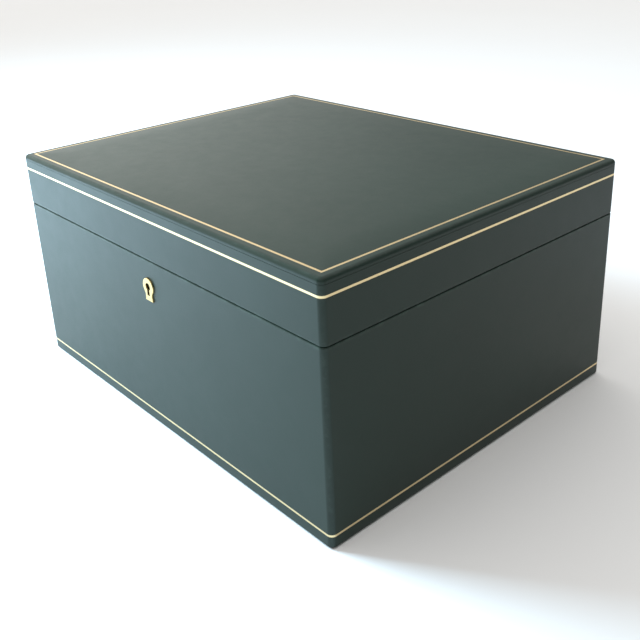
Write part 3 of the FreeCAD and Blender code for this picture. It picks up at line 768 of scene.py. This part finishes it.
def raise_crown(obj, sizes, level):
    """Raises the top in small steps to a low crown, then eases the steps."""
    steps = 9
    start = sizes.crown_start
    insets = [start + sizes.crown_run * (i / steps) ** 1.3 for i in range(steps + 1)]
    slice_at(0, both(*[HALF_W - inset for inset in insets]))
    slice_at(1, both(*[HALF_D - inset for inset in insets]))
    done = 0.0
    for inset in insets[1:]:
        part = (inset - start) / sizes.crown_run
        rise = sizes.crown * (1.0 - (1.0 - part) ** 2)

        def within(vertex, inset=inset):
            return vertex.co.z > level - 0.1 * MM and inset_of(vertex.co) > inset - TOUCH

        pick(obj, "VERT", within)
        bpy.ops.transform.translate(value=(0.0, 0.0, rise - done))
        done = rise
    pick(obj, "VERT", lambda vertex: vertex.co.z > level - 0.1 * MM
         and start - TOUCH < inset_of(vertex.co) < start + sizes.crown_run + MM)
    bpy.ops.mesh.vertices_smooth(factor=0.4, repeat=2, xaxis=False, yaxis=False, zaxis=True)


class BOX_OT_lid_top_leather(bpy.types.Operator):
    """Makes the leather of the lid's top, with its crown and rounded arris"""
    bl_idname = "lockbox.lid_top_leather"
    bl_label = "Lid top leather"

    def execute(self, context):
        sizes = context.scene.box_leather
        level = TOP_LINE_HIGH.z + context.scene.box_gold.recess
        skin = block("lid_top_skin", TOP_LOW, (HALF_W, HALF_D, level))
        edit(skin)
        pick(skin, "EDGE", is_upright)
        round_over(sizes.corner, 8)
        pick(skin, "FACE", lambda face: face.normal.z < -0.9)
        bpy.ops.mesh.delete(type="FACE")
        pick(skin, "EDGE", lambda edge: is_level(edge) and is_sharp(edge))
        round_over(sizes.arris, 8)
        outer_w, outer_d = TOP_LINE_HIGH.x, TOP_LINE_HIGH.y
        slice_at(0, both(outer_w, outer_w - LINE_WIDTH))
        slice_at(1, both(outer_d, outer_d - LINE_WIDTH))
        raise_crown(skin, sizes, level)
        bpy.ops.object.mode_set(mode="OBJECT")
        add_modifier(skin, "SOLIDIFY", thickness=sizes.thickness, offset=-1.0,
                     use_even_offset=True)
        self.press_line(skin, sizes, level, outer_w, outer_d)
        material = leather_finish("lid_top_calf", sizes, TOP_HIGH.z, SIDE_LOW.z)
        close_skin(skin, material, "lid", "lid_top_leather")
        return {"FINISHED"}

    def press_line(self, skin, sizes, level, outer_w, outer_d):
        """Presses the groove of the gold line into the top."""
        edit(skin)

        def on_line(face):
            centre = middle(face)
            inside = abs(centre.x) < outer_w and abs(centre.y) < outer_d
            beyond = (abs(centre.x) > outer_w - LINE_WIDTH
                      or abs(centre.y) > outer_d - LINE_WIDTH)
            return inside and beyond and centre.z > level - 0.1 * MM and face.normal.z > 0.5

        pick(skin, "FACE", on_line)
        bpy.ops.mesh.extrude_region_move(
            TRANSFORM_OT_translate={"value": (0.0, 0.0, -sizes.groove)})
        bpy.ops.object.mode_set(mode="OBJECT")


class BOX_OT_gold_lines(bpy.types.Operator):
    """Finishes the three gold lines"""
    bl_idname = "lockbox.gold_lines"
    bl_label = "Gold lines"

    def execute(self, context):
        material = gold_finish(context.scene.box_gold, context.scene.box_leather)
        for node in ("foot_gold_line", "lid_side_gold_line", "lid_top_gold_line"):
            finish_node(node, material)
        return {"FINISHED"}


# ---- Brass and steel ------------------------------------------------------------------


def filed_copy(node, name, width, material, body, slot):
    """A copy of a CAD node, welded, its edges broken by a small bevel."""
    deselect()
    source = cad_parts[node]
    piece = bpy.data.objects.new(name, source.data.copy())
    bpy.context.scene.collection.objects.link(piece)
    edit(piece)
    bpy.ops.mesh.select_all(action="SELECT")
    bpy.ops.mesh.remove_doubles(threshold=2e-6)
    bpy.ops.mesh.dissolve_limited(angle_limit=math.radians(1.0))
    bpy.ops.mesh.normals_make_consistent(inside=False)
    bpy.ops.object.mode_set(mode="OBJECT")
    add_modifier(piece, "BEVEL", width=width, segments=2, limit_method="ANGLE",
                 angle_limit=math.radians(40.0), use_clamp_overlap=True)
    smooth(piece, 30.0)
    dress(piece, material, body, slot, node)
    return piece


class BOX_OT_keyhole_plate(bpy.types.Operator):
    """Makes the brass plate round the keyhole"""
    bl_idname = "lockbox.keyhole_plate"
    bl_label = "Keyhole plate"

    def execute(self, context):
        metal = context.scene.box_metal
        front = PLATE_LOW.y
        back = -HALF_D
        plate = rod("keyhole_plate", metal.head, (0.0, front, KEY_Z), (0.0, back, KEY_Z), 96)
        edit(plate)
        neck = KEY_Z - metal.head * math.sin(math.radians(38.0))
        bpy.ops.mesh.select_all(action="SELECT")
        bpy.ops.mesh.bisect(plane_co=(0.0, front, neck), plane_no=(0.0, 0.0, 1.0),
                            use_fill=True, clear_inner=True, threshold=FINE)
        half = metal.head * math.cos(math.radians(38.0))
        self.draw_out(plate, metal, half, neck)
        pick(plate, "EDGE", lambda edge: is_sharp(edge)
             and all(abs(vertex.co.y - front) < TOUCH for vertex in edge.verts))
        round_over(metal.plate_edge, 4)
        bpy.ops.object.mode_set(mode="OBJECT")
        carve(plate, keyhole_cutter(metal, front - MM, back + MM, 0.0), "MANIFOLD")
        self.ease_hole(plate, front)
        add_prongs(plate, metal)
        material = brushed_finish("plate_brass", tuple(metal.plate), 0.20, 2, 0.10)
        weld(plate)
        smooth(plate, 30.0)
        dress(plate, material, "case", "plate_brass", "escutcheon")
        return {"FINISHED"}

    def draw_out(self, plate, metal, half, neck):
        """Extrudes the flat cut down to the waist and out to the foot."""
        waist = KEY_Z - metal.waist_drop
        foot = PLATE_LOW.z
        steps = [(neck + (waist - neck) * t, half + (metal.waist / 2 - half) * (2 * t - t * t))
                 for t in (0.25, 0.5, 0.75, 1.0)]
        steps.append((foot, metal.plate_foot / 2))
        level = neck
        for drop, width in steps:
            pick(plate, "FACE", lambda face: face.normal.z < -0.9
                 and abs(middle(face).z - level) < TOUCH)
            bpy.ops.mesh.extrude_region_move(
                TRANSFORM_OT_translate={"value": (0.0, 0.0, drop - level)})
            bpy.ops.transform.resize(value=(width / half, 1.0, 1.0),
                                     center_override=(0.0, 0.0, 0.0))
            half = width
            level = drop

    def ease_hole(self, plate, front):
        """Breaks the sharp front edge of the keyhole."""
        edit(plate)
        bpy.ops.mesh.select_all(action="SELECT")
        bpy.ops.mesh.dissolve_limited(angle_limit=math.radians(1.0))

        def hole_edge(edge):
            flat = all(abs(vertex.co.y - front) < TOUCH for vertex in edge.verts)
            return flat and is_sharp(edge)

        pick(plate, "EDGE", hole_edge)
        round_over(0.15 * MM, 2)
        bpy.ops.object.mode_set(mode="OBJECT")


def prong_places(metal):
    """The levels of the plate's two prongs, above and below the keyhole."""
    return KEY_Z + metal.prong_rise, (KEY_Z - metal.key_reach + PLATE_LOW.z) / 2


def add_prongs(plate, metal):
    """The two prongs on the plate's back that hold it in the wood."""
    for place in prong_places(metal):
        prong = rod("prong", metal.prong, (0.0, -HALF_D - 0.2 * MM, place),
                    (0.0, PLATE_HIGH.y, place), 16)
        add_modifier(plate, "BOOLEAN", operation="UNION", solver="MANIFOLD", object=prong)
        bpy.data.objects.remove(prong)


class BOX_OT_hinges(bpy.types.Operator):
    """Makes the pair of stop hinges, their pins and screws"""
    bl_idname = "lockbox.hinges"
    bl_label = "Hinges"

    def execute(self, context):
        metal = context.scene.box_metal
        brass = brushed_finish("hinge_brass", tuple(metal.brass), 0.27, 0, 0.16)
        screw = brushed_finish("screw_brass", tuple(metal.brass), 0.32, 1, 0.22)
        filed_copy("hinge_case_leaves", "case_leaves", metal.edge, brass, "case", "brass")
        filed_copy("hinge_lid_leaves", "lid_leaves", metal.edge, brass, "lid", "brass")
        filed_copy("hinge_case_screws", "case_leaf_screws", metal.edge / 2, screw, "case",
                   "screw_brass")
        filed_copy("hinge_lid_screws", "lid_leaf_screws", metal.edge / 2, screw, "lid",
                   "screw_brass")
        self.pins(brass)
        return {"FINISHED"}

    def pins(self, brass):
        """Two pins with domed ends."""
        radius = (PINS_HIGH.z - PINS_LOW.z) / 2
        x0, x1 = HINGE_SPANS[1]
        pin = rod("hinge_pin_pair", radius, (x0, HINGE_Y, SEAM_Z), (x1, HINGE_Y, SEAM_Z), 32)
        edit(pin)
        pick(pin, "EDGE", lambda edge: is_sharp(edge))
        round_over(radius * 0.35, 4)
        bpy.ops.object.mode_set(mode="OBJECT")
        twin = pin.copy()
        twin.data = pin.data.copy()
        bpy.context.scene.collection.objects.link(twin)
        edit(twin)
        bpy.ops.mesh.select_all(action="SELECT")
        bpy.ops.transform.translate(value=(-x0 - x1, 0.0, 0.0))
        bpy.ops.object.mode_set(mode="OBJECT")
        hold(pin)
        twin.select_set(True)
        bpy.ops.object.join()
        smooth(pin, 40.0)
        dress(pin, brass, "case", "brass", "hinge_pins")


class BOX_OT_lock(bpy.types.Operator):
    """Makes the box lock, its bolt and the link plate on the lid"""
    bl_idname = "lockbox.lock"
    bl_label = "Lock"

    def execute(self, context):
        metal = context.scene.box_metal
        brass = brushed_finish("lock_brass", tuple(metal.brass), 0.25, 0, 0.14)
        screw = brushed_finish("lock_screw_brass", tuple(metal.brass), 0.32, 1, 0.22)
        steel = brushed_finish("lock_steel", tuple(metal.steel), 0.30, 0, 0.10)
        edge = metal.edge
        filed_copy("lock_case", "lock_body", edge, brass, "case", "brass")
        filed_copy("lock_cap", "lock_front_cap", edge, brass, "case", "brass")
        filed_copy("lock_ward", "lock_key_ward", edge / 2, brass, "case", "brass")
        filed_copy("lock_pin", "lock_drill_pin", edge / 2, steel, "case", "steel")
        filed_copy("lock_spring", "lock_leaf_spring", edge / 3, steel, "case", "steel")
        filed_copy("lock_screws", "lock_plate_screws", edge / 2, screw, "case", "screw_brass")
        filed_copy("lock_bolt", "lock_sliding_bolt", edge, steel, "bolt", "steel")
        filed_copy("link_plate", "lid_link_plate", edge, brass, "lid", "brass")
        filed_copy("link_plate_screws", "lid_link_screws", edge / 2, screw, "lid",
                   "screw_brass")
        return {"FINISHED"}


# ---- Boards, linings and pads ---------------------------------------------------------


class BOX_OT_boards(bpy.types.Operator):
    """Finishes the wooden boards"""
    bl_idname = "lockbox.boards"
    bl_label = "Boards"

    def execute(self, context):
        wood = wood_finish()
        names = [f"case_{side}_board" for side in SIDES]
        names += [f"lid_{side}_rail" for side in SIDES]
        for node in names + ["case_bottom_board", "lid_top_board"]:
            finish_node(node, wood)
        return {"FINISHED"}


class BOX_OT_underside(bpy.types.Operator):
    """Makes the baize sheet under the case"""
    bl_idname = "lockbox.underside"
    bl_label = "Underside"

    def execute(self, context):
        low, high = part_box("base_sheet")
        sheet = block("base_baize", low, high)
        edit(sheet)
        pick(sheet, "EDGE", is_upright)
        round_over(4 * MM, 6)
        pick(sheet, "EDGE", lambda edge: is_level(edge) and is_sharp(edge)
             and middle(edge).z < low.z + TOUCH)
        round_over(0.4 * MM, 3)
        bpy.ops.object.mode_set(mode="OBJECT")
        smooth(sheet)
        dress(sheet, felt_finish(), "case", "base_sheet", "base_sheet")
        return {"FINISHED"}


class BOX_OT_linings(bpy.types.Operator):
    """Makes the suede covered panels round the well and the lid"""
    bl_idname = "lockbox.linings"
    bl_label = "Linings"

    def execute(self, context):
        sizes = context.scene.box_lining
        suede = suede_finish("panel_suede", tuple(sizes.colour), 0.10 * MM)
        for part in ("case", "lid"):
            for side in SIDES:
                self.panel(f"{part}_lining_{side}", f"{part}_suede_{side}", part, sizes, suede)
        return {"FINISHED"}

    def panel(self, node, name, body, sizes, suede):
        """One panel: a thin board with soft edges round the face that shows."""
        low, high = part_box(node)
        panel = block(name, low, high)
        axis = 1 if high.x - low.x > high.y - low.y else 0
        inward = -1.0 if (low[axis] + high[axis]) > 0 else 1.0
        face_at = high[axis] if inward > 0 else low[axis]
        edit(panel)
        pick(panel, "EDGE", lambda edge: is_sharp(edge)
             and all(abs(vertex.co[axis] - face_at) < TOUCH for vertex in edge.verts))
        round_over(sizes.soft_edge, 6)
        bpy.ops.object.mode_set(mode="OBJECT")
        smooth(panel, 50.0)
        dress(panel, suede, body, "lining", node)


def steps_between(low, high, spacing):
    """Evenly spaced places between two ends."""
    count = max(2, round((high - low) / spacing))
    return [low + (high - low) * i / count for i in range(1, count)]


class BOX_OT_pads(bpy.types.Operator):
    """Makes the suede pads of the floor and the lid, swollen by their filling"""
    bl_idname = "lockbox.pads"
    bl_label = "Pads"

    def execute(self, context):
        sizes = context.scene.box_lining
        suede = suede_finish("pad_suede", tuple(sizes.colour), 0.14 * MM)
        for node, name, body, upward in (("floor_pad", "floor_cushion", "case", True),
                                         ("lid_pad", "lid_cushion", "lid", False)):
            pad = self.slack_pad(node, name, sizes, upward)
            self.swell(pad, node, sizes)
            add_modifier(pad, "SUBSURF", levels=1, render_levels=1)
            smooth(pad, 80.0, False)
            dress(pad, suede, body, "lining_pad", node)
        return {"FINISHED"}

    def slack_pad(self, node, name, sizes, upward):
        """The pad before it is filled: smaller than its place, its edges rounded."""
        low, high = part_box(node)
        side = Vector((sizes.swell, sizes.swell, 0.0))
        slack = Vector((0.0, 0.0, sizes.swell))
        low = low + side if upward else low + side + slack
        high = high - side - slack if upward else high - side
        pad = block(name, low, high)
        edit(pad)
        pick(pad, "EDGE", is_upright)
        round_over(4 * MM, 4)
        pick(pad, "EDGE", lambda edge: is_level(edge) and is_sharp(edge))
        round_over((high.z - low.z) * 0.38, 3)
        slice_at(0, steps_between(low.x, high.x, sizes.mesh))
        slice_at(1, steps_between(low.y, high.y, sizes.mesh))
        bpy.ops.object.mode_set(mode="OBJECT")
        return pad

    def swell(self, pad, node, sizes):
        """Fills the pad by a cloth simulation, and keeps it in the room it has."""
        scene = bpy.context.scene
        hold(pad)
        cloth = pad.modifiers.new("filling", "CLOTH")
        cloth.settings.use_pressure = True
        cloth.settings.uniform_pressure_force = sizes.pressure
        cloth.settings.effector_weights.gravity = 0.0
        cloth.settings.mass = 0.3
        for step in range(1, CLOTH_FRAMES + 1):
            scene.frame_set(step)
        graph = bpy.context.evaluated_depsgraph_get()
        swollen = pad.evaluated_get(graph).to_mesh()
        places = [vertex.co.copy() for vertex in swollen.vertices]
        pad.evaluated_get(graph).to_mesh_clear()
        pad.modifiers.remove(cloth)
        scene.frame_set(1)
        low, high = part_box(node)
        for vertex, place in zip(pad.data.vertices, places):
            move = place - vertex.co
            if move.length > sizes.swell:
                move = move.normalized() * sizes.swell
            spot = vertex.co + move
            vertex.co = [min(max(spot[i], low[i]), high[i]) for i in range(3)]
        pad.data.update()


class BOX_OT_wadding(bpy.types.Operator):
    """Makes the wadding under the lid's top leather"""
    bl_idname = "lockbox.wadding"
    bl_label = "Wadding"

    def execute(self, context):
        sizes = context.scene.box_leather
        low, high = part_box("lid_wadding")
        level = high.z - sizes.crown
        room = Vector((WADDING_ROOM, WADDING_ROOM, 0.0))
        top = Vector((high.x, high.y, level))
        pad = block("lid_cotton_wadding", low + room, top - room)
        edit(pad)
        pick(pad, "EDGE", is_upright)
        round_over(2.8 * MM, 4)
        pick(pad, "EDGE", lambda edge: is_level(edge) and is_sharp(edge)
             and middle(edge).z > level - TOUCH)
        round_over((level - low.z) * 0.96, 4)
        raise_crown(pad, sizes, level)
        bpy.ops.object.mode_set(mode="OBJECT")
        smooth(pad)
        dress(pad, wadding_finish(), "lid", "wadding", "lid_wadding")
        return {"FINISHED"}


# ---- Floor, camera and lights ---------------------------------------------------------


class BOX_OT_studio(bpy.types.Operator):
    """Makes the floor, the camera and the soft lights"""
    bl_idname = "lockbox.studio"
    bl_label = "Studio"

    def execute(self, context):
        studio = context.scene.box_studio
        self.floor(studio)
        self.camera(context, studio)
        self.room(context, studio)
        self.sky(studio)
        self.lamp("front_left", (-0.80, -0.50, 0.62), (-0.42, -0.26, 0.0), (0.5, 0.5), 37.0,
                  (0.58, 0.82, 1.0))
        return {"FINISHED"}

    def floor(self, studio):
        """A wide pale floor."""
        deselect()
        bpy.ops.mesh.primitive_plane_add(size=24.0, location=(0.0, 0.0, 0.0))
        floor = place_mesh("studio_floor")
        floor.data.materials.append(floor_finish(tuple(studio.floor)))

    def camera(self, context, studio):
        """A camera that looks at the keyhole side and the right side from above."""
        turn, tilt, roll = studio.turn, studio.tilt, studio.roll
        back = Vector((math.sin(turn) * math.cos(tilt), -math.cos(turn) * math.cos(tilt),
                       math.sin(tilt)))
        right = Vector((0.0, 0.0, 1.0)).cross(back).normalized()
        up = back.cross(right)
        across = right * math.cos(roll) + up * math.sin(roll)
        above = up * math.cos(roll) - right * math.sin(roll)
        facing = Matrix((across, above, back)).transposed()
        deselect()
        bpy.ops.object.camera_add(location=studio.eye, rotation=facing.to_euler())
        camera = bpy.context.object
        camera.name = "studio_camera"
        camera.data.lens = studio.lens
        camera.data.shift_y = studio.shift
        camera.data.dof.use_dof = False
        context.scene.camera = camera

    def room(self, context, studio):
        """Even soft light from all round, and plain colours."""
        recipe = Recipe(bpy.data.worlds.new("studio_room"), "Background", "Generated")
        x, y, z = recipe.along()
        window = (0.0 - x).between(0.58, 1.0) * (1.0 - z.between(0.32, 0.8))
        strength = studio.room * (0.57 - 0.42 * x) + studio.window * window
        context.scene.world = recipe.finish(Color=(1.0, 0.98, 0.94), Strength=strength)
        context.scene.view_settings.view_transform = "Standard"

    def sky(self, studio):
        """A very soft light straight from above."""
        deselect()
        bpy.ops.object.light_add(type="SUN", location=(0.0, 0.0, 3.0))
        sky = bpy.context.object
        sky.name = "overhead"
        sky.data.angle = math.radians(100.0)
        sky.data.energy = studio.sky

    def lamp(self, name, place, target, size, power, colour):
        """A soft rectangular lamp that lights the floor, and isn't itself mirrored."""
        away = Vector(place) - Vector(target)
        deselect()
        bpy.ops.object.light_add(type="AREA", location=place,
                                 rotation=away.to_track_quat("Z", "Y").to_euler())
        lamp = bpy.context.object
        lamp.name = name
        lamp.data.shape = "RECTANGLE"
        lamp.data.size, lamp.data.size_y = size
        lamp.data.energy = power
        lamp.data.color = colour
        lamp.visible_camera = False
        lamp.visible_glossy = False


# ---- Panel and registration -----------------------------------------------------------

OPERATORS = (
    BOX_OT_studio,
    BOX_OT_case_leather,
    BOX_OT_lid_side_leather,
    BOX_OT_lid_top_leather,
    BOX_OT_wadding,
    BOX_OT_gold_lines,
    BOX_OT_keyhole_plate,
    BOX_OT_hinges,
    BOX_OT_lock,
    BOX_OT_boards,
    BOX_OT_underside,
    BOX_OT_linings,
    BOX_OT_pads,
)

GROUPS = {
    "box_leather": LeatherSizes,
    "box_gold": GoldSizes,
    "box_metal": MetalSizes,
    "box_lining": LiningSizes,
    "box_studio": StudioSizes,
}


class BOX_PT_pieces(bpy.types.Panel):
    """Lists the pieces of the box"""
    bl_idname = "BOX_PT_pieces"
    bl_label = "Lock box"
    bl_space_type = "VIEW_3D"
    bl_region_type = "UI"
    bl_category = "Lock box"

    def draw(self, context):
        for operator in OPERATORS:
            self.layout.operator(operator.bl_idname)
        for name, group in GROUPS.items():
            column = self.layout.column()
            column.label(text=group.__doc__)
            for field in group.__annotations__:
                column.prop(getattr(context.scene, name), field)


def register():
    """Registers the classes and their settings."""
    for group in GROUPS.values():
        bpy.utils.register_class(group)
    for operator in OPERATORS:
        bpy.utils.register_class(operator)
    bpy.utils.register_class(BOX_PT_pieces)
    for name, group in GROUPS.items():
        setattr(bpy.types.Scene, name, bpy.props.PointerProperty(type=group))


def unregister():
    """Removes the classes and their settings."""
    for name in GROUPS:
        delattr(bpy.types.Scene, name)
    bpy.utils.unregister_class(BOX_PT_pieces)
    for operator in reversed(OPERATORS):
        bpy.utils.unregister_class(operator)
    for group in reversed(list(GROUPS.values())):
        bpy.utils.unregister_class(group)


def main():
    """Makes every piece in order."""
    register()
    for operator in OPERATORS:
        group, name = operator.bl_idname.split(".")
        getattr(getattr(bpy.ops, group), name)()
    deselect()


if __name__ == "__main__":
    main()
